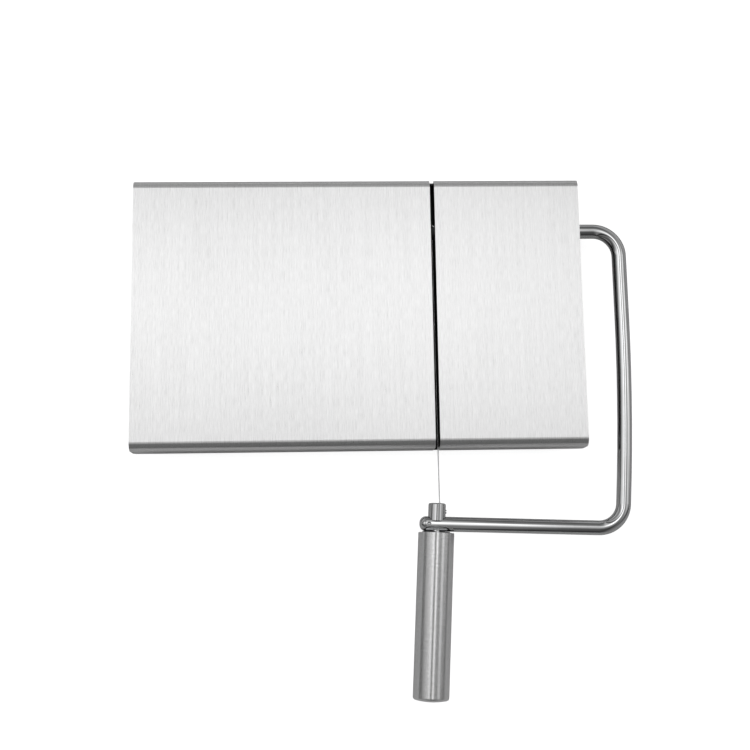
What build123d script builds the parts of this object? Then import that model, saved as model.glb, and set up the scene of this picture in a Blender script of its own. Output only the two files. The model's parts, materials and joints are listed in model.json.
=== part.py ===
from build123d import *
import math
import os

# Cheese wire cutter, millimetres. +Z up, +X to the right, -Y towards the user.
# The origin is on the table, at the middle of the whole object's footprint.

# Driving dimensions of the board
BOARD_LENGTH = 210.0
BOARD_WIDTH = 127.6
BOARD_HEIGHT = 20.0
PLATE_THICKNESS = 1.0
BEND_RADIUS = 4.0
FLANGE_HEIGHT = 15.0
FLANGE_CORNER = 2.0
SLOT_CORNER = 0.6
SLOT_FROM_CENTRE = 35.5
SLOT_WIDTH = 2.1

# Driving dimensions of the arm
ROD_DIAMETER = 6.8
ROD_DROP = 7.0
PIVOT_FROM_CENTRE = 39.5
ARM_REACH = 124.7
REAR_BEND_RADIUS = 12.2
FRONT_BEND_RADIUS = 11.6
FRONT_BEND_ANGLE = 87.6
BOW_RADIUS = 1100.0
BOW_ANGLE = 4.59
BOW_START = -2.5
FRONT_LEG = 82.6
STUD_FROM_TIP = 7.85
HANDLE_SKEW = 3.25

# Driving dimensions of the handle and the tension bolt
HANDLE_DIAMETER = 16.4
HANDLE_START = 4.0
HANDLE_END = 79.1
HEAD_DIAMETER = 8.0
HEAD_TOP = 9.4
HEAD_LIP = 1.45
THREAD_DIAMETER = 4.0
WIRE_DIAMETER = 0.6
WIRE_DRIFT = 0.6

# Middle of the board, seen from the origin
BOARD_X = -11.55
BOARD_Y = 56.78

# Levels above the table
DECK_UNDERSIDE = BOARD_HEIGHT - PLATE_THICKNESS
FLANGE_BOTTOM = BOARD_HEIGHT - FLANGE_HEIGHT
ROD_Z = BOARD_HEIGHT - ROD_DROP
RAIL_THICKNESS = 2.0
RAIL_BOTTOM = 5.2
RAIL_TOP = RAIL_BOTTOM + RAIL_THICKNESS

# Places across the board
LEFT_END = BOARD_X - BOARD_LENGTH / 2
RIGHT_END = BOARD_X + BOARD_LENGTH / 2
FRONT_EDGE = BOARD_Y - BOARD_WIDTH / 2
REAR_EDGE = BOARD_Y + BOARD_WIDTH / 2
SLOT_X = BOARD_X + SLOT_FROM_CENTRE
SLOT_LEFT = SLOT_X - SLOT_WIDTH / 2
SLOT_RIGHT = SLOT_X + SLOT_WIDTH / 2
PIVOT_Y = BOARD_Y + PIVOT_FROM_CENTRE
LEG_X = BOARD_X + ARM_REACH
ROD_RADIUS = ROD_DIAMETER / 2

os.makedirs("parts", exist_ok=True)


def save(piece, name):
    """Label one piece and write it as parts/name.step."""
    piece.label = name
    export_step(piece, f"parts/{name}.step")


def disc(x, y, bottom, top, radius, bore=0.0):
    """Upright cylinder or ring between two levels."""
    with BuildPart() as ring:
        with BuildSketch(Plane.XY.offset(bottom)):
            with Locations((x, y)):
                Circle(radius)
                if bore:
                    Circle(bore, mode=Mode.SUBTRACT)
        extrude(amount=top - bottom)
    return ring.part


def hexagon(x, y, bottom, top, across_flats, bore):
    """Upright hexagonal nut between two levels."""
    with BuildPart() as nut:
        with BuildSketch(Plane.XY.offset(bottom)):
            with Locations((x, y)):
                RegularPolygon(across_flats / 2, 6, major_radius=False)
                Circle(bore, mode=Mode.SUBTRACT)
        extrude(amount=top - bottom)
    return nut.part


def group(pieces):
    """Separate identical solids that share one node."""
    return Compound(children=pieces)


def deck_plate(x_from, x_to, left_corner, right_corner):
    """Folded plate: flat top, front and rear flanges with rounded lower corners."""
    middle = (BOARD_HEIGHT + FLANGE_BOTTOM) / 2
    with BuildPart() as plate:
        with BuildSketch(Plane.YZ.offset(x_from)) as section:
            with Locations((BOARD_Y, middle)):
                Rectangle(BOARD_WIDTH, FLANGE_HEIGHT)
            fillet(section.vertices().group_by(Axis.Y)[-1], BEND_RADIUS)
        extrude(amount=x_to - x_from)
        with BuildSketch(Plane.YZ.offset(x_from)) as hollow:
            with Locations((BOARD_Y, middle - PLATE_THICKNESS)):
                Rectangle(BOARD_WIDTH - 2 * PLATE_THICKNESS, FLANGE_HEIGHT)
            fillet(hollow.vertices().group_by(Axis.Y)[-1], BEND_RADIUS - PLATE_THICKNESS)
        extrude(amount=x_to - x_from, mode=Mode.SUBTRACT)
        for end, radius in ((0, left_corner), (-1, right_corner)):
            lower = plate.edges().filter_by(Axis.Y).group_by(Axis.Z)[0]
            fillet(lower.group_by(Axis.X)[end], radius)
    return plate.part


# ---------------------------------------------------------------- deck plates
plate_left = deck_plate(LEFT_END, SLOT_LEFT, FLANGE_CORNER, SLOT_CORNER)
plate_right = deck_plate(SLOT_RIGHT, RIGHT_END, SLOT_CORNER, FLANGE_CORNER)
save(plate_left, "deck_plate_left")
save(plate_right, "deck_plate_right")

# ----------------------------------------------------------------- slot liner
LINER_INSIDE = 2.6
LINER_WALL = 1.6
LINER_FLOOR = 0.7
LINER_END_GAP = 0.1
LINER_WINDOW_GAP = 0.5
LINER_REAR_WALL = 1.6
LINER_HOOK = 1.5
TONGUE_SIDE_GAP = 0.1
TONGUE_INSET = 0.2
liner_length = BOARD_WIDTH - 2 * (PLATE_THICKNESS + LINER_END_GAP)
liner_width = LINER_INSIDE + 2 * LINER_WALL
liner_height = DECK_UNDERSIDE - RAIL_TOP
liner_front = BOARD_Y - liner_length / 2
tongue_front = FRONT_EDGE + TONGUE_INSET
with BuildPart() as slot_liner:
    with BuildSketch(Plane.XY.offset(RAIL_TOP)):
        with Locations((SLOT_X, BOARD_Y)):
            Rectangle(liner_width, liner_length)
    extrude(amount=liner_height)
    # the ends follow the folded corners of the plates; the groove stays closed at the rear
    fillet(slot_liner.edges().filter_by(Axis.X).group_by(Axis.Z)[-1], BEND_RADIUS - PLATE_THICKNESS)
    with BuildSketch(Plane.XY.offset(RAIL_TOP + LINER_FLOOR)):
        with Locations((SLOT_X, BOARD_Y - LINER_REAR_WALL / 2)):
            Rectangle(LINER_INSIDE, liner_length - LINER_REAR_WALL)
    extrude(amount=liner_height, mode=Mode.SUBTRACT)
    # a hook in front of the rail and a tongue in the flange's slot hold the front end
    with BuildSketch(Plane.XY.offset(FLANGE_BOTTOM)):
        with Locations((SLOT_X, liner_front)):
            Rectangle(liner_width, LINER_HOOK, align=(Align.CENTER, Align.MIN))
        with Locations((SLOT_X, tongue_front)):
            tongue_length = liner_front + LINER_HOOK - tongue_front
            Rectangle(SLOT_WIDTH - 2 * TONGUE_SIDE_GAP, tongue_length, align=(Align.CENTER, Align.MIN))
    extrude(amount=RAIL_TOP + LINER_FLOOR - FLANGE_BOTTOM)
    with BuildSketch(Plane.YZ.offset(SLOT_X - liner_width)):
        with Locations((PIVOT_Y, ROD_Z)):
            Circle(ROD_RADIUS + LINER_WINDOW_GAP)
    extrude(amount=2 * liner_width, mode=Mode.SUBTRACT)
save(slot_liner.part, "slot_liner")

# ---------------------------------------------------------------- cross rails
RAIL_FROM_CENTRE = 55.0
RAIL_WIDTH = 12.0
RAIL_LENGTH = 196.0
RAIL_CORNER = 3.0
RAIL_HOLE = 2.25
FOOT_FROM_CENTRE = 90.0
FOOT_HOLE = 1.6
STUD_PLACES = (-70.0, 10.0, 52.0, 78.0)
rail_ys = {"front": BOARD_Y - RAIL_FROM_CENTRE, "rear": BOARD_Y + RAIL_FROM_CENTRE}
stud_xs = [BOARD_X + place for place in STUD_PLACES]
foot_xs = {"left": BOARD_X - FOOT_FROM_CENTRE, "right": BOARD_X + FOOT_FROM_CENTRE}
for side, rail_y in rail_ys.items():
    with BuildPart() as cross_rail:
        with BuildSketch(Plane.XY.offset(RAIL_BOTTOM)):
            with Locations((BOARD_X, rail_y)):
                RectangleRounded(RAIL_LENGTH, RAIL_WIDTH, RAIL_CORNER)
            with Locations([(x, rail_y) for x in stud_xs]):
                Circle(RAIL_HOLE, mode=Mode.SUBTRACT)
            with Locations([(x, rail_y) for x in foot_xs.values()]):
                Circle(FOOT_HOLE, mode=Mode.SUBTRACT)
        extrude(amount=RAIL_THICKNESS)
    save(cross_rail.part, f"cross_rail_{side}")

# ---------------------------------------- weld studs that hold the rails
STUD_RADIUS = 2.0
STUD_TIP = 1.6
SPACER_RADIUS = 3.5
WASHER_RADIUS = 4.2
WASHER_THICKNESS = 0.6
NUT_HEIGHT = 2.2
NUT_FLATS = 7.0
stud_places = [(x, y) for y in rail_ys.values() for x in stud_xs]
washer_bottom = RAIL_BOTTOM - WASHER_THICKNESS
nut_bottom = washer_bottom - NUT_HEIGHT
save(group([disc(x, y, STUD_TIP, DECK_UNDERSIDE, STUD_RADIUS) for x, y in stud_places]), "rail_studs")
save(
    group([disc(x, y, RAIL_TOP, DECK_UNDERSIDE, SPACER_RADIUS, STUD_RADIUS) for x, y in stud_places]),
    "rail_spacers",
)
save(
    group([disc(x, y, washer_bottom, RAIL_BOTTOM, WASHER_RADIUS, STUD_RADIUS) for x, y in stud_places]),
    "rail_washers",
)
save(
    group([hexagon(x, y, nut_bottom, washer_bottom, NUT_FLATS, STUD_RADIUS) for x, y in stud_places]),
    "rail_nuts",
)

# -------------------------------------------------- pivot blocks and bushes
BLOCK_WIDTH = 8.0
BLOCK_DEPTH = 19.0
BLOCK_BOTTOM = 7.6
BLOCK_CORNER = 1.0
BLOCK_FROM_CENTRE = {"left": 27.5, "right": 90.0}
BLOCK_STUD_RADIUS = 1.5
BLOCK_STUD_OFFSET = 6.6
BLOCK_STUD_CLEARANCE = 0.1
BLOCK_STUD_END = 0.6
BLOCK_NUT_HEIGHT = 2.0
BLOCK_NUT_FLATS = 5.5
BUSH_RADIUS = 4.4
BUSH_CLEARANCE = 0.06
block_xs = {side: BOARD_X + place for side, place in BLOCK_FROM_CENTRE.items()}
for side, block_x in block_xs.items():
    face = Plane.YZ.offset(block_x - BLOCK_WIDTH / 2)
    with BuildPart() as pivot_block:
        with BuildSketch(Plane.XY.offset(BLOCK_BOTTOM)):
            with Locations((block_x, PIVOT_Y)):
                RectangleRounded(BLOCK_WIDTH, BLOCK_DEPTH, BLOCK_CORNER)
            with Locations(*[(block_x, PIVOT_Y + s * BLOCK_STUD_OFFSET) for s in (-1, 1)]):
                Circle(BLOCK_STUD_RADIUS + BLOCK_STUD_CLEARANCE, mode=Mode.SUBTRACT)
        extrude(amount=DECK_UNDERSIDE - BLOCK_BOTTOM)
        with BuildSketch(face):
            with Locations((PIVOT_Y, ROD_Z)):
                Circle(BUSH_RADIUS)
        extrude(amount=BLOCK_WIDTH, mode=Mode.SUBTRACT)
    save(pivot_block.part, f"pivot_block_{side}")
    with BuildPart() as pivot_bush:
        with BuildSketch(face):
            with Locations((PIVOT_Y, ROD_Z)):
                Circle(BUSH_RADIUS)
                Circle(ROD_RADIUS + BUSH_CLEARANCE, mode=Mode.SUBTRACT)
        extrude(amount=BLOCK_WIDTH)
    save(pivot_bush.part, f"pivot_bush_{side}")

block_stud_places = [(x, PIVOT_Y + s * BLOCK_STUD_OFFSET) for x in block_xs.values() for s in (-1, 1)]
block_nut_bottom = BLOCK_BOTTOM - BLOCK_NUT_HEIGHT
block_stud_bottom = block_nut_bottom - BLOCK_STUD_END
save(
    group([disc(x, y, block_stud_bottom, DECK_UNDERSIDE, BLOCK_STUD_RADIUS) for x, y in block_stud_places]),
    "block_studs",
)
save(
    group([
        hexagon(x, y, block_nut_bottom, BLOCK_BOTTOM, BLOCK_NUT_FLATS, BLOCK_STUD_RADIUS)
        for x, y in block_stud_places
    ]),
    "block_nuts",
)

# ---------------------------------------------------------------- rubber feet
FOOT_RADIUS = 6.5
FOOT_TAPER = 0.8
FOOT_EDGE = 0.6
FOOT_RECESS_RADIUS = 3.2
FOOT_RECESS = 2.4
SCREW_RADIUS = 1.5
SCREW_HEAD_RADIUS = 2.8
SCREW_HEAD = 1.6
SCREW_HEAD_BEVEL = 0.5
SCREW_SOCKET_RADIUS = 1.0
SCREW_SOCKET_DEPTH = 0.8
SCREW_TIP = 11.0
FOOT_NUT_HEIGHT = 2.4
for y_side, foot_y in rail_ys.items():
    for x_side, foot_x in foot_xs.items():
        with BuildPart() as foot:
            with BuildSketch(Plane.XY):
                with Locations((foot_x, foot_y)):
                    Circle(FOOT_RADIUS - FOOT_TAPER)
            with BuildSketch(Plane.XY.offset(RAIL_BOTTOM)):
                with Locations((foot_x, foot_y)):
                    Circle(FOOT_RADIUS)
            loft()
            fillet(foot.edges().group_by(Axis.Z)[0], FOOT_EDGE)
            with BuildSketch(Plane.XY):
                with Locations((foot_x, foot_y)):
                    Circle(FOOT_RECESS_RADIUS)
            extrude(amount=FOOT_RECESS, mode=Mode.SUBTRACT)
            with BuildSketch(Plane.XY):
                with Locations((foot_x, foot_y)):
                    Circle(SCREW_RADIUS)
            extrude(amount=RAIL_BOTTOM, mode=Mode.SUBTRACT)
        save(foot.part, f"foot_{y_side}_{x_side}")


def foot_screw(x, y):
    """Pan-head screw that comes up through a foot and its rail."""
    head_bottom = FOOT_RECESS - SCREW_HEAD
    with BuildPart() as screw:
        with BuildSketch(Plane.XZ.offset(-y)):
            with BuildLine():
                Polyline(
                    (x, head_bottom),
                    (x + SCREW_HEAD_RADIUS - SCREW_HEAD_BEVEL, head_bottom),
                    (x + SCREW_HEAD_RADIUS, head_bottom + SCREW_HEAD_BEVEL),
                    (x + SCREW_HEAD_RADIUS, FOOT_RECESS),
                    (x + SCREW_RADIUS, FOOT_RECESS),
                    (x + SCREW_RADIUS, SCREW_TIP),
                    (x, SCREW_TIP),
                    close=True,
                )
            make_face()
        revolve(axis=Axis((x, y, 0), (0, 0, 1)))
        with BuildSketch(Plane.XY.offset(head_bottom)):
            with Locations((x, y)):
                RegularPolygon(SCREW_SOCKET_RADIUS, 6)
        extrude(amount=SCREW_SOCKET_DEPTH, mode=Mode.SUBTRACT)
    return screw.part


foot_places = [(x, y) for y in rail_ys.values() for x in foot_xs.values()]
save(group([foot_screw(x, y) for x, y in foot_places]), "foot_screws")
save(
    group([
        hexagon(x, y, RAIL_TOP, RAIL_TOP + FOOT_NUT_HEIGHT, BLOCK_NUT_FLATS, SCREW_RADIUS)
        for x, y in foot_places
    ]),
    "foot_nuts",
)

# -------------------------------------------------------------------- arm rod
ROD_END_FROM_CENTRE = 20.0
AXLE_TIP_FILLET = 1.0
LEG_TIP_FILLET = 2.9
CLIP_FROM_TIP = 1.5
CLIP_THICKNESS = 0.8
CLIP_RADIUS = 5.0
GROOVE_DEPTH = 0.5
BALL_RADIUS = 0.9
BALL_SEAT_RADIUS = 1.1
BALL_FROM_AXIS = 2.0
WIRE_CLEARANCE = 0.1
BOLT_CLEARANCE = 0.15
TAIL_LEFT = 0.45
TAIL_BEHIND = 2.4
TAIL_HEIGHT = 3.7
TAIL_DEPTH = 2.2
TAIL_LENGTH = 0.9
TAIL_BEND = 0.5
TAIL_SLANT = 30.0
TIP_MARK_FROM_END = 4.2
TIP_MARK_RADIUS = 1.3
TIP_MARK_DEPTH = 0.45
rod_left_end = BOARD_X + ROD_END_FROM_CENTRE
clip_x = rod_left_end + CLIP_FROM_TIP
groove_radius = ROD_RADIUS - GROOVE_DEPTH
wire_hole_radius = WIRE_DIAMETER / 2 + WIRE_CLEARANCE
bolt_hole_radius = THREAD_DIAMETER / 2 + BOLT_CLEARANCE
bow_start = (LEG_X, BOARD_Y + BOW_START)
rear_bend_start = (LEG_X - REAR_BEND_RADIUS, PIVOT_Y)
rear_bend_end = (LEG_X, PIVOT_Y - REAR_BEND_RADIUS)

# the rod's middle line: axle, rear bend, slightly bowed long leg, front bend, front leg
with BuildLine(Plane.XY.offset(ROD_Z)) as arm_route:
    axle = Line((rod_left_end, PIVOT_Y), rear_bend_start)
    JernArc(rear_bend_start, (1, 0), REAR_BEND_RADIUS, -90)
    Line(rear_bend_end, bow_start)
    bow = JernArc(bow_start, (0, -1), BOW_RADIUS, -BOW_ANGLE)
    front_bend = JernArc(bow @ 1, bow % 1, FRONT_BEND_RADIUS, -FRONT_BEND_ANGLE)
    front_leg = Line(front_bend @ 1, front_bend @ 1 + (front_bend % 1) * FRONT_LEG)

# the tension bolt's hole crosses the front leg, the wire's hole crosses the axle
leg_direction = front_leg % 1
hole_centre = front_leg @ 1 - leg_direction * STUD_FROM_TIP
hole_centre = Vector(hole_centre.X, hole_centre.Y, ROD_Z)
skew = math.radians(HANDLE_SKEW)
handle_direction = Vector(-math.sin(skew), -math.cos(skew), 0)
side_direction = Vector(math.cos(skew), -math.sin(skew), 0)
up = (0, 0, 1)
bolt_plane = Plane(hole_centre, x_dir=up, z_dir=handle_direction)
leg_plane = Plane(hole_centre, x_dir=up, z_dir=leg_direction)
wire_rear = Vector(SLOT_X, PIVOT_Y, ROD_Z)
wire_front = Vector(SLOT_X + WIRE_DRIFT, hole_centre.Y + HEAD_TOP, ROD_Z)
wire_span = (wire_front - wire_rear).length
wire_plane = Plane(wire_rear, x_dir=up, z_dir=(wire_front - wire_rear).normalized())
tip_mark_height = ROD_RADIUS + TIP_MARK_RADIUS - TIP_MARK_DEPTH
tip_mark = hole_centre + leg_direction * (STUD_FROM_TIP - TIP_MARK_FROM_END) + Vector(up) * tip_mark_height
tail_foot = (SLOT_X - TAIL_LEFT, PIVOT_Y + TAIL_BEHIND, ROD_Z + TAIL_HEIGHT - TAIL_DEPTH)
slant = math.radians(TAIL_SLANT)


def rod_tip(part, end):
    """The rim of the rod's end face nearest to a point."""
    rims = part.edges().filter_by(GeomType.CIRCLE).filter_by(lambda edge: edge.radius < ROD_DIAMETER)
    return rims.sort_by_distance(end)[0]


with BuildPart() as arm_rod:
    with BuildSketch(Plane.YZ.offset(rod_left_end)):
        with Locations((PIVOT_Y, ROD_Z)):
            Circle(ROD_RADIUS)
    sweep(path=arm_route.wire())
    fillet(rod_tip(arm_rod, axle @ 0), AXLE_TIP_FILLET)
    fillet(rod_tip(arm_rod, front_leg @ 1), LEG_TIP_FILLET)
    with BuildSketch(Plane.YZ.offset(clip_x)):
        with Locations((PIVOT_Y, ROD_Z)):
            Circle(ROD_DIAMETER)
            Circle(groove_radius, mode=Mode.SUBTRACT)
    extrude(amount=CLIP_THICKNESS, mode=Mode.SUBTRACT)
    with BuildSketch(bolt_plane.offset(-ROD_DIAMETER)):
        Circle(bolt_hole_radius)
    extrude(amount=2 * ROD_DIAMETER, mode=Mode.SUBTRACT)
    with BuildSketch(wire_plane.offset(-ROD_DIAMETER)):
        Circle(wire_hole_radius)
    extrude(amount=2 * ROD_DIAMETER, mode=Mode.SUBTRACT)
    with BuildSketch(wire_plane.offset(BALL_RADIUS - BALL_FROM_AXIS)):
        Circle(BALL_SEAT_RADIUS)
    extrude(amount=-ROD_DIAMETER, mode=Mode.SUBTRACT)
    with BuildSketch(Plane(tail_foot)):
        Circle(wire_hole_radius)
    extrude(amount=TAIL_DEPTH, mode=Mode.SUBTRACT)
    with Locations(tip_mark):
        Sphere(TIP_MARK_RADIUS, mode=Mode.SUBTRACT)
save(arm_rod.part, "arm_rod")

# ------------------------- dark sleeve that covers the axle inside the slot
AXLE_SLEEVE_RADIUS = 3.75
AXLE_SLEEVE_WIDTH = 2.0
with BuildPart() as axle_sleeve:
    with BuildSketch(Plane.YZ.offset(SLOT_X - AXLE_SLEEVE_WIDTH / 2)):
        with Locations((PIVOT_Y, ROD_Z)):
            Circle(AXLE_SLEEVE_RADIUS)
            Circle(ROD_RADIUS, mode=Mode.SUBTRACT)
    extrude(amount=AXLE_SLEEVE_WIDTH)
    with BuildSketch(wire_plane):
        Circle(wire_hole_radius)
    extrude(amount=ROD_DIAMETER, mode=Mode.SUBTRACT)
    with BuildSketch(Plane(tail_foot)):
        Circle(wire_hole_radius)
    extrude(amount=TAIL_DEPTH, mode=Mode.SUBTRACT)
save(axle_sleeve.part, "axle_sleeve")

# ------------------------------------------- what keeps the axle in its bushes
COLLAR_RADIUS = 5.6
COLLAR_WIDTH = 8.0
COLLAR_GAP = 0.3
COLLAR_SCREW_RADIUS = 1.5
COLLAR_SCREW_RECESS = 0.4
COLLAR_SCREW_GAP = 0.05
COLLAR_SOCKET_RADIUS = 0.9
AXLE_WASHER_WIDTH = 1.0
AXLE_WASHER_RADIUS = 5.8
CLIP_OPENING = 1.6 * groove_radius
with BuildPart() as retaining_clip:
    with BuildSketch(Plane.YZ.offset(clip_x)):
        with Locations((PIVOT_Y, ROD_Z)):
            Circle(CLIP_RADIUS)
            Circle(groove_radius, mode=Mode.SUBTRACT)
        with Locations((PIVOT_Y, ROD_Z - CLIP_RADIUS)):
            Rectangle(CLIP_OPENING, 2 * CLIP_RADIUS, mode=Mode.SUBTRACT)
    extrude(amount=CLIP_THICKNESS)
save(retaining_clip.part, "retaining_clip")

with BuildPart() as axle_washer:
    with BuildSketch(Plane.YZ.offset(clip_x + CLIP_THICKNESS)):
        with Locations((PIVOT_Y, ROD_Z)):
            Circle(AXLE_WASHER_RADIUS)
            Circle(ROD_RADIUS, mode=Mode.SUBTRACT)
    extrude(amount=AXLE_WASHER_WIDTH)
save(axle_washer.part, "axle_washer")

collar_right = block_xs["right"] - BLOCK_WIDTH / 2 - COLLAR_GAP
collar_middle = collar_right - COLLAR_WIDTH / 2
with BuildPart() as shaft_collar:
    with BuildSketch(Plane.YZ.offset(collar_right - COLLAR_WIDTH)):
        with Locations((PIVOT_Y, ROD_Z)):
            Circle(COLLAR_RADIUS)
            Circle(ROD_RADIUS, mode=Mode.SUBTRACT)
    extrude(amount=COLLAR_WIDTH)
    with BuildSketch(Plane.XY.offset(ROD_Z)):
        with Locations((collar_middle, PIVOT_Y)):
            Circle(COLLAR_SCREW_RADIUS)
    extrude(amount=-2 * COLLAR_RADIUS, mode=Mode.SUBTRACT)
save(shaft_collar.part, "shaft_collar")

with BuildPart() as collar_screw:
    with BuildSketch(Plane.XY.offset(ROD_Z - COLLAR_RADIUS + COLLAR_SCREW_RECESS)):
        with Locations((collar_middle, PIVOT_Y)):
            Circle(COLLAR_SCREW_RADIUS)
            RegularPolygon(COLLAR_SOCKET_RADIUS, 6, mode=Mode.SUBTRACT)
    extrude(amount=COLLAR_RADIUS - COLLAR_SCREW_RECESS - ROD_RADIUS - COLLAR_SCREW_GAP)
save(collar_screw.part, "collar_screw")

# ---------------------------------------------------------------- cutting wire
WIRE_IN_HEAD = 1.5
with BuildPart() as cutting_wire:
    with BuildSketch(wire_plane.offset(-BALL_FROM_AXIS)):
        Circle(WIRE_DIAMETER / 2)
    extrude(amount=BALL_FROM_AXIS + wire_span + WIRE_IN_HEAD)
save(cutting_wire.part, "cutting_wire")

with BuildPart() as wire_ball:
    with BuildSketch(Plane(wire_plane.origin, x_dir=wire_plane.z_dir, z_dir=up)):
        with BuildLine():
            CenterArc((-BALL_FROM_AXIS, 0), BALL_RADIUS, 0, 180)
            Line((-BALL_FROM_AXIS - BALL_RADIUS, 0), (-BALL_FROM_AXIS + BALL_RADIUS, 0))
        make_face()
    revolve(axis=Axis(wire_plane.origin, wire_plane.z_dir))
    with BuildSketch(wire_plane.offset(-BALL_FROM_AXIS)):
        Circle(WIRE_DIAMETER / 2)
    extrude(amount=2 * BALL_RADIUS, mode=Mode.SUBTRACT)
save(wire_ball.part, "wire_ball")

# the wire's clipped end comes up through the sleeve and bends over it
tail_plane = Plane(
    tail_foot, x_dir=(math.cos(slant), -math.sin(slant), 0), z_dir=(-math.sin(slant), -math.cos(slant), 0)
)
with BuildPart() as wire_tail:
    with BuildLine(tail_plane) as tail_route:
        Line((0, 0), (0, TAIL_DEPTH - TAIL_BEND))
        JernArc((0, TAIL_DEPTH - TAIL_BEND), (0, 1), TAIL_BEND, -90)
        Line((TAIL_BEND, TAIL_DEPTH), (TAIL_BEND + TAIL_LENGTH, TAIL_DEPTH))
    with BuildSketch(Plane(tail_foot)):
        Circle(WIRE_DIAMETER / 2)
    sweep(path=tail_route.wire())
save(wire_tail.part, "wire_tail")

# ---------------------------------------------------------------- tension bolt
SADDLE_CLEARANCE = 0.15
SHANK_END = 26.0
HEAD_FILLET = 0.7
HEAD_HOLE_RADIUS = 0.6
HEAD_HOLE_DEPTH = 4.6
HEAD_HOLE_START = 1.0
SHANK_ROOT = 1.0
SHANK_BEVEL = 0.5
CLAMP_FROM_TOP = 3.7
CLAMP_RADIUS = 0.9
CLAMP_INNER = 2.3
CLAMP_OUTER = 4.35
CLAMP_SLOT_WIDTH = 0.4
CLAMP_SLOT_DEPTH = 0.5
clamp_plane = Plane(
    hole_centre - handle_direction * (HEAD_TOP - CLAMP_FROM_TOP), x_dir=up, z_dir=side_direction
)
with BuildPart() as tension_bolt:
    with BuildSketch(bolt_plane.offset(-HEAD_TOP)):
        Circle(HEAD_DIAMETER / 2)
    extrude(amount=HEAD_TOP - HEAD_LIP)
    fillet(tension_bolt.edges().sort_by(Axis.Y)[-1], HEAD_FILLET)
    with BuildSketch(leg_plane.offset(-HEAD_DIAMETER)):
        Circle(ROD_RADIUS + SADDLE_CLEARANCE)
    extrude(amount=2 * HEAD_DIAMETER, mode=Mode.SUBTRACT)
    with BuildSketch(bolt_plane.offset(-ROD_RADIUS - SHANK_ROOT)):
        Circle(THREAD_DIAMETER / 2)
    extrude(amount=SHANK_END + ROD_RADIUS + SHANK_ROOT)
    chamfer(tension_bolt.edges().sort_by(Axis.Y)[0], SHANK_BEVEL)
    with BuildSketch(wire_plane.offset(wire_span - HEAD_HOLE_START)):
        Circle(HEAD_HOLE_RADIUS)
    extrude(amount=HEAD_HOLE_DEPTH + HEAD_HOLE_START, mode=Mode.SUBTRACT)
    with BuildSketch(clamp_plane.offset(CLAMP_INNER)):
        Circle(CLAMP_RADIUS)
    extrude(amount=HEAD_DIAMETER / 2, mode=Mode.SUBTRACT)
save(tension_bolt.part, "tension_bolt")

with BuildPart() as wire_clamp_screw:
    with BuildSketch(clamp_plane.offset(CLAMP_INNER)):
        Circle(CLAMP_RADIUS)
    extrude(amount=CLAMP_OUTER - CLAMP_INNER)
    with BuildSketch(clamp_plane.offset(CLAMP_OUTER - CLAMP_SLOT_DEPTH)):
        Rectangle(2 * CLAMP_RADIUS, CLAMP_SLOT_WIDTH)
    extrude(amount=CLAMP_SLOT_DEPTH, mode=Mode.SUBTRACT)
save(wire_clamp_screw.part, "wire_clamp_screw")

# ---------------------------------------------------------------------- handle
SLEEVE_BORE = 6.5
SLEEVE_END_WALL = 3.0
SLEEVE_END_FILLET = 1.3
SLEEVE_END_DOME = 1.1
SLEEVE_START_FILLET = 0.2
PLUG_COLLAR_RADIUS = 6.4
INSERT_GAP = 0.15
PLUG_NOTCH = 1.8
PLUG_LENGTH = 18.0
INSERT_RADIUS = 3.6
INSERT_FLANGE_RADIUS = 5.5
THREAD_CLEARANCE = 0.06
insert_start = ROD_RADIUS + INSERT_GAP
handle_radius = HANDLE_DIAMETER / 2
sleeve_plane = Plane(hole_centre, x_dir=handle_direction, z_dir=up)
with BuildPart() as handle_sleeve:
    # half section with a gently domed far end, turned about the handle's axis
    with BuildSketch(sleeve_plane):
        with BuildLine():
            dome = TangentArc((HANDLE_END, 0), (HANDLE_END - SLEEVE_END_DOME, handle_radius), tangent=(0, 1))
            Polyline(
                dome @ 1,
                (HANDLE_START, handle_radius),
                (HANDLE_START, SLEEVE_BORE),
                (HANDLE_END - SLEEVE_END_WALL, SLEEVE_BORE),
                (HANDLE_END - SLEEVE_END_WALL, 0),
                dome @ 0,
            )
        make_face()
    revolve(axis=Axis(hole_centre, handle_direction))
    rims = handle_sleeve.edges().filter_by(GeomType.CIRCLE)
    outer_rims = rims.filter_by(lambda edge: SLEEVE_BORE < edge.radius < HANDLE_DIAMETER).sort_by(Axis.Y)
    fillet(outer_rims[0], SLEEVE_END_FILLET)
    fillet(outer_rims[-1], SLEEVE_START_FILLET)
save(handle_sleeve.part, "handle_sleeve")

# the plug's dark collar surrounds the insert's flange; its two notches are for a pin spanner
with BuildPart() as handle_plug:
    with BuildSketch(bolt_plane.offset(insert_start)):
        Circle(PLUG_COLLAR_RADIUS)
        Circle(INSERT_FLANGE_RADIUS, mode=Mode.SUBTRACT)
        Rectangle(2 * PLUG_COLLAR_RADIUS, PLUG_NOTCH, mode=Mode.SUBTRACT)
    extrude(amount=HANDLE_START - insert_start)
    with BuildSketch(bolt_plane.offset(HANDLE_START)):
        Circle(SLEEVE_BORE)
        Circle(INSERT_RADIUS, mode=Mode.SUBTRACT)
    extrude(amount=PLUG_LENGTH)
save(handle_plug.part, "handle_plug")

with BuildPart() as handle_insert:
    with BuildSketch(bolt_plane.offset(insert_start)):
        Circle(INSERT_FLANGE_RADIUS)
    extrude(amount=HANDLE_START - insert_start)
    with BuildSketch(bolt_plane.offset(HANDLE_START)):
        Circle(INSERT_RADIUS)
    extrude(amount=PLUG_LENGTH)
    with BuildSketch(bolt_plane):
        Circle(THREAD_DIAMETER / 2 + THREAD_CLEARANCE)
    extrude(amount=HANDLE_START + PLUG_LENGTH, mode=Mode.SUBTRACT)
save(handle_insert.part, "handle_insert")
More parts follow.
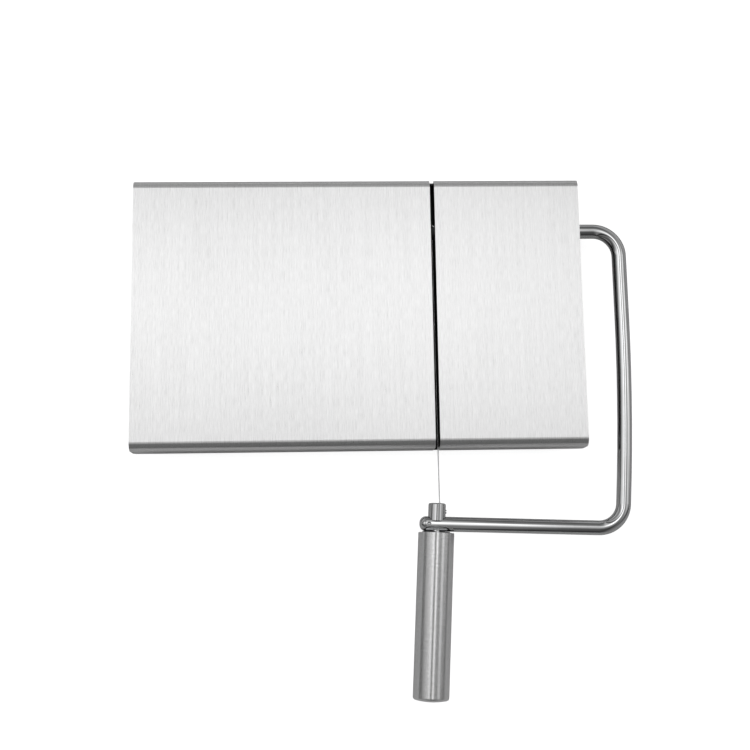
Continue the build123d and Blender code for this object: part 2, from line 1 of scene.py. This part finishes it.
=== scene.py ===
import bpy
import json
import math
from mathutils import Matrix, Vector


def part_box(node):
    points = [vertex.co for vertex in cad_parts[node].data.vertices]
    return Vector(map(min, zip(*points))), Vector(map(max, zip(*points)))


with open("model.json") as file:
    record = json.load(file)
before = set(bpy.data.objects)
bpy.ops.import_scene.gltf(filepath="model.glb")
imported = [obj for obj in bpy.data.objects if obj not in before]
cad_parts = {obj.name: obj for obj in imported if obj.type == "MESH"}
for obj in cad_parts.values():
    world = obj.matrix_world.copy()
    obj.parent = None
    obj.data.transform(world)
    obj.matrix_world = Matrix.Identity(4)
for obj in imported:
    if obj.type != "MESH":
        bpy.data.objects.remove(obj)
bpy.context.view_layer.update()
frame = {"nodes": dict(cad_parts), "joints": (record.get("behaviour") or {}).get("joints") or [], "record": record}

# ------------------------------------------------------------------ measures
# A millimetre in scene units, and places read from the CAD frame.
MM = 0.001
left_low, left_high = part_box("deck_plate_left")
_, right_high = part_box("deck_plate_right")
# the middle of the deck's top face
BOARD_CENTRE = Vector(((left_low.x + right_high.x) / 2, (left_low.y + left_high.y) / 2, left_high.z))
handle_joint = next(joint for joint in frame["joints"] if joint["name"] == "handle_turn")
handle_axis = Vector(handle_joint["axis"])
handle_skew = math.atan2(handle_axis.x, -handle_axis.y)


# ------------------------------------------------------------- node helpers
def grey(level, tint=0.0):
    """A neutral grey, a little cooler with a positive tint."""
    return (level * (1 - tint), level, level * (1 + tint))


class Graph:
    """Small helper that adds and links the nodes of one node tree."""

    def __init__(self, tree):
        self.tree = tree

    def node(self, kind, **settings):
        made = self.tree.nodes.new(kind)
        for key, value in settings.items():
            setattr(made, key, value)
        return made

    def link(self, source, target):
        self.tree.links.new(source, target)

    def calculate(self, operation, first, second):
        """A Math node's result. Each of its two inputs is a socket or a number."""
        node = self.node("ShaderNodeMath", operation=operation)
        for socket, value in zip(node.inputs, (first, second)):
            if isinstance(value, (int, float)):
                socket.default_value = value
            else:
                self.link(value, socket)
        return node.outputs["Value"]

    def remap(self, value, low, high, new_low, new_high):
        ranged = self.node("ShaderNodeMapRange")
        self.link(value, ranged.inputs["Value"])
        ranged.inputs["From Min"].default_value = low
        ranged.inputs["From Max"].default_value = high
        ranged.inputs["To Min"].default_value = new_low
        ranged.inputs["To Max"].default_value = new_high
        return ranged.outputs["Result"]

    def ramp(self, value, stops):
        """Colours between stops, each a place from 0 to 1 and a colour."""
        ramp = self.node("ShaderNodeValToRGB")
        self.link(value, ramp.inputs["Fac"])
        elements = ramp.color_ramp.elements
        while len(elements) < len(stops):
            elements.new(0.5)
        for element, (place, colour) in zip(elements, stops):
            element.position = place
            element.color = (*colour, 1.0)
        return ramp.outputs["Color"]


class Shader(Graph):
    """A graph that builds one material."""

    def __init__(self, name):
        self.material = bpy.data.materials.new(name)
        self.material.use_nodes = True
        super().__init__(self.material.node_tree)
        self.surface = self.tree.nodes["Principled BSDF"]
        self.coords = self.node("ShaderNodeTexCoord").outputs["Object"]

    def set(self, **values):
        """Plain values on the shader's own sockets; underscores stand for spaces."""
        for key, value in values.items():
            self.surface.inputs[key.replace("_", " ")].default_value = value

    def noise(self, scale, detail=4.0, rough=0.6, rotation=(0, 0, 0), location=(0, 0, 0)):
        """Noise fixed to the piece. The scale, in features per metre, is one number or one per axis."""
        mapping = self.node("ShaderNodeMapping")
        self.link(self.coords, mapping.inputs["Vector"])
        mapping.inputs["Scale"].default_value = scale if isinstance(scale, tuple) else (scale,) * 3
        mapping.inputs["Rotation"].default_value = rotation
        mapping.inputs["Location"].default_value = location
        texture = self.node("ShaderNodeTexNoise")
        self.link(mapping.outputs["Vector"], texture.inputs["Vector"])
        texture.inputs["Scale"].default_value = 1.0
        texture.inputs["Detail"].default_value = detail
        texture.inputs["Roughness"].default_value = rough
        return texture.outputs["Fac"]

    def blend(self, first, second, share):
        """A weighted mean of two values, with the given share of the second."""
        mix = self.node("ShaderNodeMix", data_type="FLOAT")
        mix.inputs["Factor"].default_value = share
        self.link(first, mix.inputs["A"])
        self.link(second, mix.inputs["B"])
        return mix.outputs["Result"]

    def stretch_gloss(self, direction):
        """Spread the highlight along a direction fixed to the piece."""
        way = self.node("ShaderNodeCombineXYZ")
        for socket, value in zip(way.inputs, direction):
            socket.default_value = value
        turn = self.node("ShaderNodeVectorTransform", vector_type="VECTOR")
        turn.convert_from = "OBJECT"
        turn.convert_to = "WORLD"
        self.link(way.outputs["Vector"], turn.inputs["Vector"])
        self.link(turn.outputs["Vector"], self.surface.inputs["Tangent"])

    def bump(self, height, strength, distance):
        bump = self.node("ShaderNodeBump")
        bump.inputs["Strength"].default_value = strength
        bump.inputs["Distance"].default_value = distance
        self.link(height, bump.inputs["Height"])
        return bump.outputs["Normal"]

    def finish(self, colour, roughness=None, normal=None):
        self.link(colour, self.surface.inputs["Base Color"])
        if roughness is not None:
            self.link(roughness, self.surface.inputs["Roughness"])
        if normal is not None:
            self.link(normal, self.surface.inputs["Normal"])
        return self.material


# ----------------------------------------------------------------- materials
# Depth of the marks that brushing, polishing and turning leave on steel.
STEEL_RELIEF = 0.01 * MM


def brushed_deck():
    """Sheet steel with a straight brush grain from front to rear."""
    s = Shader("brushed_deck")
    s.set(Metallic=1.0, Anisotropic=0.85)
    s.stretch_gloss((1, 0, 0))
    grain = s.noise((3000, 170, 3000), detail=6, rough=0.75)
    streaks = s.noise((900, 16, 900), detail=3, location=(3, 1, 0))
    cloud = s.noise((14, 9, 14), detail=2)
    tone = s.blend(s.blend(grain, streaks, 0.22), cloud, 0.1)
    colour = s.ramp(tone, [(0.38, grey(0.71)), (0.5, grey(0.83)), (0.62, grey(0.93))])
    rough = s.remap(tone, 0.3, 0.7, 0.26, 0.34)
    return s.finish(colour, rough, s.bump(grain, 0.12, STEEL_RELIEF))


def polished_steel():
    """Bright drawn rod with faint smears and fine polishing haze."""
    s = Shader("polished_steel")
    s.set(Metallic=1.0)
    smear = s.noise(60, detail=5, rough=0.65)
    haze = s.noise(900, detail=3)
    colour = s.ramp(smear, [(0.3, grey(0.57)), (0.7, grey(0.66, 0.01))])
    rough = s.remap(smear, 0.3, 0.7, 0.04, 0.10)
    return s.finish(colour, rough, s.bump(haze, 0.05, STEEL_RELIEF))


def satin_handle():
    """Satin steel tube: fine scratches run round it, with duller pits between them."""
    s = Shader("satin_handle")
    s.set(Metallic=1.0, Anisotropic=0.7)
    s.stretch_gloss(handle_axis)
    rings = s.noise((300, 2200, 300), detail=6, rough=0.7, rotation=(0, 0, handle_skew))
    speckle = s.noise((1800, 900, 1800), location=(5, 0, 2))
    tone = s.blend(rings, speckle, 0.5)
    pits = s.noise(9000, detail=2, location=(1, 4, 0))
    colour = s.ramp(tone, [(0.35, grey(0.76)), (0.5, grey(0.86)), (0.65, grey(0.95))])
    rough = s.remap(pits, 0.50, 0.56, 0.16, 0.75)
    return s.finish(colour, rough, s.bump(tone, 0.02, STEEL_RELIEF))


def plain_steel(name, level, roughness, mottle_scale):
    """Machined or plated steel with a fine mottled finish."""
    s = Shader(name)
    s.set(Metallic=1.0)
    mottle = s.noise(mottle_scale, detail=5)
    colour = s.ramp(mottle, [(0.3, grey(level * 0.82)), (0.7, grey(level, 0.015))])
    rough = s.remap(mottle, 0.3, 0.7, roughness - 0.05, roughness + 0.06)
    return s.finish(colour, rough, s.bump(mottle, 0.08, STEEL_RELIEF))


def moulded(name, level, roughness, pore_scale, relief):
    """Moulded plastic or rubber with a fine spark-eroded texture and a little dust."""
    s = Shader(name)
    pores = s.noise(pore_scale, detail=5, rough=0.7)
    dust = s.noise(140, detail=3)
    colour = s.ramp(dust, [(0.3, grey(level * 0.8)), (0.7, grey(level * 1.5))])
    rough = s.remap(pores, 0.3, 0.7, roughness - 0.08, roughness + 0.1)
    return s.finish(colour, rough, s.bump(pores, 0.35, relief))


def bronze():
    """Sintered bronze with open pores."""
    s = Shader("bush_bronze")
    s.set(Metallic=1.0)
    pores = s.noise(1800)
    colour = s.ramp(pores, [(0.35, (0.25, 0.15, 0.06)), (0.6, (0.55, 0.38, 0.18))])
    rough = s.remap(pores, 0.3, 0.7, 0.5, 0.32)
    return s.finish(colour, rough, s.bump(pores, 0.3, 0.03 * MM))


# One material for each of the record's slots.
MATERIALS = {
    "brushed_deck": brushed_deck(),
    "polished_steel": polished_steel(),
    "satin_handle": satin_handle(),
    "turned_steel": plain_steel("turned_steel", 0.97, 0.18, 1500),
    "wire_steel": plain_steel("wire_steel", 0.8, 0.22, 2500),
    "plated_steel": plain_steel("plated_steel", 0.58, 0.32, 900),
    "black_plastic": moulded("black_plastic", 0.030, 0.50, 2200, 0.03 * MM),
    "block_plastic": moulded("block_plastic", 0.025, 0.50, 2200, 0.03 * MM),
    "nylon": moulded("nylon", 0.025, 0.42, 1800, 0.02 * MM),
    "bush_bronze": bronze(),
    "foot_rubber": moulded("foot_rubber", 0.018, 0.75, 1600, 0.05 * MM),
}
slots = {entry["node"]: entry["material_slot"] for entry in frame["record"]["subparts"]}
for name, piece in frame["nodes"].items():
    piece.data.materials.clear()
    piece.data.materials.append(MATERIALS[slots[name]])

# --------------------------------------------------------------------- stage
FLOOR_SIZE = 1.6
# Light and dark of the paper's fibres.
FLOOR_DARK = 0.76
FLOOR_LIGHT = 0.79
# The paper glows for the camera only, so that it looks as white as the backdrop.
FLOOR_GLOW = 0.85

half = FLOOR_SIZE / 2
corners = [(-half, -half, 0), (half, -half, 0), (half, half, 0), (-half, half, 0)]
floor_mesh = bpy.data.meshes.new("floor")
floor_mesh.from_pydata(corners, [], [(0, 1, 2, 3)])
floor = bpy.data.objects.new("floor", floor_mesh)
bpy.context.scene.collection.objects.link(floor)

paper = Shader("floor_paper")
paper.set(Roughness=0.9, Emission_Color=(1, 1, 1, 1))
camera_ray = paper.node("ShaderNodeLightPath").outputs["Is Camera Ray"]
glow = paper.calculate("MULTIPLY", camera_ray, FLOOR_GLOW)
paper.link(glow, paper.surface.inputs["Emission Strength"])
fibre = paper.noise(300, detail=3)
floor_mesh.materials.append(
    paper.finish(paper.ramp(fibre, [(0.3, grey(FLOOR_DARK)), (0.7, grey(FLOOR_LIGHT))]))
)

# -------------------------------------------------------------------- lights
# The studio is a far surround of soft panels and dark gaps. A profile gives
# brightness by the angle from straight up, in degrees: the side profile by the
# lean towards +X, the front profile by the lean towards +Y, so its negative
# angles face the front. The surround is the product of the two.
SIDE_PROFILE = [
    (-180, 0.13), (-155, 0.27), (-120, 0.25), (-104, 0.16), (-95, 0.08), (-72, 0.08), (-62, 0.26),
    (-50, 0.36), (-38, 0.5), (-28, 0.6), (-22, 0.85), (-14, 0.8), (-9, 0.12), (-4, 0.12),
    (0, 0.6), (3, 1.0), (9, 1.0), (10, 0.8), (12, 0.42), (18, 0.32), (28, 0.2), (34, 0.4),
    (40, 0.68), (48, 0.68), (56, 0.3), (64, 0.4), (72, 0.4), (82, 0.1), (95, 0.16), (120, 0.23),
    (150, 0.26), (180, 0.13),
]
FRONT_PROFILE = [
    (-180, 1.0), (-140, 0.7), (-105, 0.12), (-80, 0.03), (-60, 0.1), (-42, 0.12), (-22, 0.13),
    (-12, 0.36), (-5, 0.47), (2, 0.62), (6, 0.77), (10, 0.96), (16, 1.0), (19, 0.84), (22, 0.68),
    (26, 0.46), (34, 0.32), (60, 0.24), (80, 0.24), (95, 0.5), (112, 0.7), (140, 1.0), (180, 1.0),
]
# A second, weaker product adds wide low panels in the corners of the surround,
# clear of the two main axes.
SIDE_FILL = [
    (-180, 1.0), (-90, 0.9), (-68, 1.0), (-46, 0.0), (46, 0.0), (68, 0.8), (90, 0.7), (180, 0.8),
]
FRONT_FILL = [
    (-180, 0.4), (-90, 0.5), (-64, 0.7), (-46, 0.0), (40, 0.0), (62, 0.8), (90, 0.8), (180, 0.9),
]
FILL_LEVEL = 0.28
SURROUND_STRENGTH = 2.25
# The camera itself sees a plain backdrop instead of the surround.
BACKDROP_LEVEL = 1.0

world = bpy.data.worlds.new("studio")
bpy.context.scene.world = world
world.use_nodes = True
sky = Graph(world.node_tree)
direction = sky.node("ShaderNodeSeparateXYZ")
sky.link(sky.node("ShaderNodeTexCoord").outputs["Generated"], direction.inputs["Vector"])


def profile(towards, stops):
    """Brightness by the angle that a direction leans from straight up towards an axis."""
    lean = sky.calculate("ARCTAN2", direction.outputs[towards], direction.outputs["Z"])
    place = sky.remap(lean, -math.pi, math.pi, 0, 1)
    return sky.ramp(place, [((angle + 180) / 360, grey(level)) for angle, level in stops])


def product(side_stops, front_stops):
    """Brightness from one profile by side and one from front to rear."""
    both = sky.node("ShaderNodeVectorMath", operation="MULTIPLY")
    sky.link(profile("X", side_stops), both.inputs[0])
    sky.link(profile("Y", front_stops), both.inputs[1])
    return both.outputs["Vector"]


surround = sky.node("ShaderNodeVectorMath", operation="MULTIPLY_ADD")
sky.link(product(SIDE_FILL, FRONT_FILL), surround.inputs[0])
surround.inputs[1].default_value = (FILL_LEVEL,) * 3
sky.link(product(SIDE_PROFILE, FRONT_PROFILE), surround.inputs[2])
studio = sky.tree.nodes["Background"]
studio.inputs["Strength"].default_value = SURROUND_STRENGTH
sky.link(surround.outputs["Vector"], studio.inputs["Color"])

backdrop = sky.node("ShaderNodeBackground")
backdrop.inputs["Color"].default_value = (*grey(BACKDROP_LEVEL), 1)
shown = sky.node("ShaderNodeMixShader")
sky.link(sky.node("ShaderNodeLightPath").outputs["Is Camera Ray"], shown.inputs["Fac"])
sky.link(studio.outputs["Background"], shown.inputs[1])
sky.link(backdrop.outputs["Background"], shown.inputs[2])
sky.link(shown.outputs["Shader"], sky.tree.nodes["World Output"].inputs["Surface"])

# -------------------------------------------------------------------- camera
# The place is measured from the middle of the deck's top face.
CAMERA_PLACE = Vector((-13.92, -120.05, 544.39)) * MM
CAMERA_TILT = math.radians(9.377)
CAMERA_SIDE = math.radians(-2.183)
CAMERA_ROLL = math.radians(-0.562)
# Focal length and sensor width in millimetres, as a camera states them.
LENS = 57.6
SENSOR_WIDTH = 36.0

camera_data = bpy.data.cameras.new("camera")
camera_data.lens = LENS
camera_data.sensor_width = SENSOR_WIDTH
camera = bpy.data.objects.new("camera", camera_data)
bpy.context.scene.collection.objects.link(camera)
camera.location = BOARD_CENTRE + CAMERA_PLACE
camera.rotation_mode = "ZYX"
camera.rotation_euler = (CAMERA_TILT, CAMERA_SIDE, CAMERA_ROLL)
bpy.context.scene.camera = camera

bpy.context.scene.view_settings.view_transform = "Standard"
